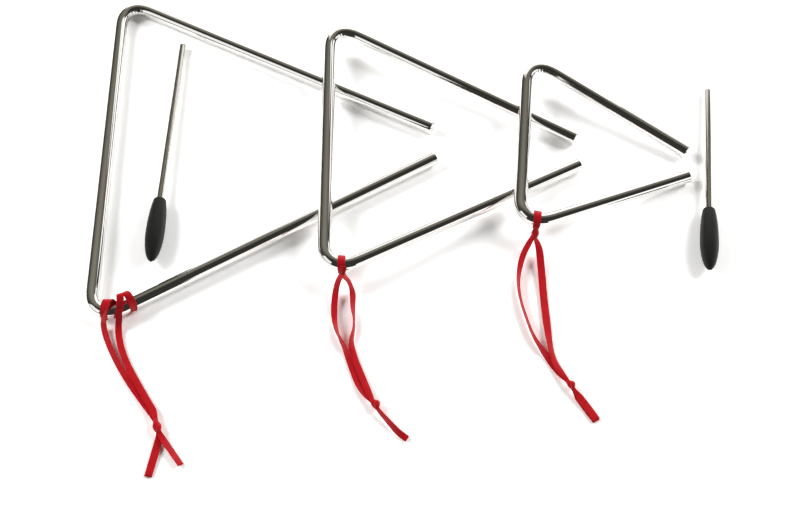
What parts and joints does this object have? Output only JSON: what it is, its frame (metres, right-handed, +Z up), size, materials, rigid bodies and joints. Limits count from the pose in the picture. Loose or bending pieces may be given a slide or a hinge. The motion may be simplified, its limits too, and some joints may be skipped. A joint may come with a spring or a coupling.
{
  "type": "musical triangle set",
  "caption": "Graduated chrome-rod musical triangles with an open corner and tied satin ribbon loops, with rubber-gripped steel beaters, laid out overlapping.",
  "frame": {"origin": "middle of the laid-out set on the table, below its rods and beaters", "axes": "+X along the row from the large triangle to the short beater, +Y away from the ribbons' tails, +Z up from the table"},
  "size_m": [0.3077, 0.2715, 0.0156],
  "materials": {
    "chrome_rod": "polished chrome plate",
    "beater_steel": "drawn steel, nickel plated",
    "grip_rubber": "moulded matte rubber",
    "ribbon": "red satin ribbon"
  },
  "bodies": {
    "large_triangle": {"large_rod": "chrome_rod", "large_ribbon_wrap": "ribbon", "large_ribbon_bight": "ribbon"},
    "medium_triangle": {"medium_rod": "chrome_rod"},
    "small_triangle": {"small_rod": "chrome_rod"},
    "long_beater": {"long_beater_shaft": "beater_steel", "long_beater_grip": "grip_rubber"},
    "short_beater": {"short_beater_shaft": "beater_steel", "short_beater_grip": "grip_rubber"},
    "large_ribbon_loop": {"large_ribbon_left_strand": "ribbon", "large_ribbon_right_strand": "ribbon", "large_ribbon_knot": "ribbon", "large_ribbon_left_tail": "ribbon", "large_ribbon_right_tail": "ribbon"},
    "medium_ribbon_loop": {"medium_ribbon_wrap": "ribbon", "medium_ribbon_neck": "ribbon", "medium_ribbon_left_strand": "ribbon", "medium_ribbon_right_strand": "ribbon", "medium_ribbon_knot": "ribbon", "medium_ribbon_left_tail": "ribbon", "medium_ribbon_right_tail": "ribbon"},
    "small_ribbon_loop": {"small_ribbon_wrap": "ribbon", "small_ribbon_neck": "ribbon", "small_ribbon_left_strand": "ribbon", "small_ribbon_right_strand": "ribbon", "small_ribbon_knot": "ribbon", "small_ribbon_left_tail": "ribbon", "small_ribbon_right_tail": "ribbon"}
  },
  "joints": [
    {"name": "medium_lift", "type": "slide", "parent": "large_triangle", "child": "medium_triangle", "axis": [0, 0, 1], "range_m": [0, 0.06]},
    {"name": "small_lift", "type": "slide", "parent": "medium_triangle", "child": "small_triangle", "axis": [0, 0, 1], "range_m": [0, 0.06]},
    {"name": "long_beater_lift", "type": "slide", "parent": "large_triangle", "child": "long_beater", "axis": [0, 0, 1], "range_m": [0, 0.06]},
    {"name": "short_beater_lift", "type": "slide", "parent": "large_triangle", "child": "short_beater", "axis": [0, 0, 1], "range_m": [0, 0.06]},
    {"name": "large_ribbon_swing", "type": "hinge", "parent": "large_triangle", "child": "large_ribbon_loop", "pos_m": [-0.14174, -0.09893, 0.00366], "axis": [-0.9999, 0.0111, 0], "range_deg": [0, 120]},
    {"name": "medium_ribbon_swing", "type": "hinge", "parent": "medium_triangle", "child": "medium_ribbon_loop", "pos_m": [-0.03804, -0.07606, 0.00961], "axis": [-0.9896, 0.1327, 0.0547], "range_deg": [0, 120]},
    {"name": "small_ribbon_swing", "type": "hinge", "parent": "small_triangle", "child": "small_ribbon_loop", "pos_m": [0.05343, -0.05383, 0.01076], "axis": [-0.9645, 0.244, 0.1006], "range_deg": [0, 120]}
  ]
}
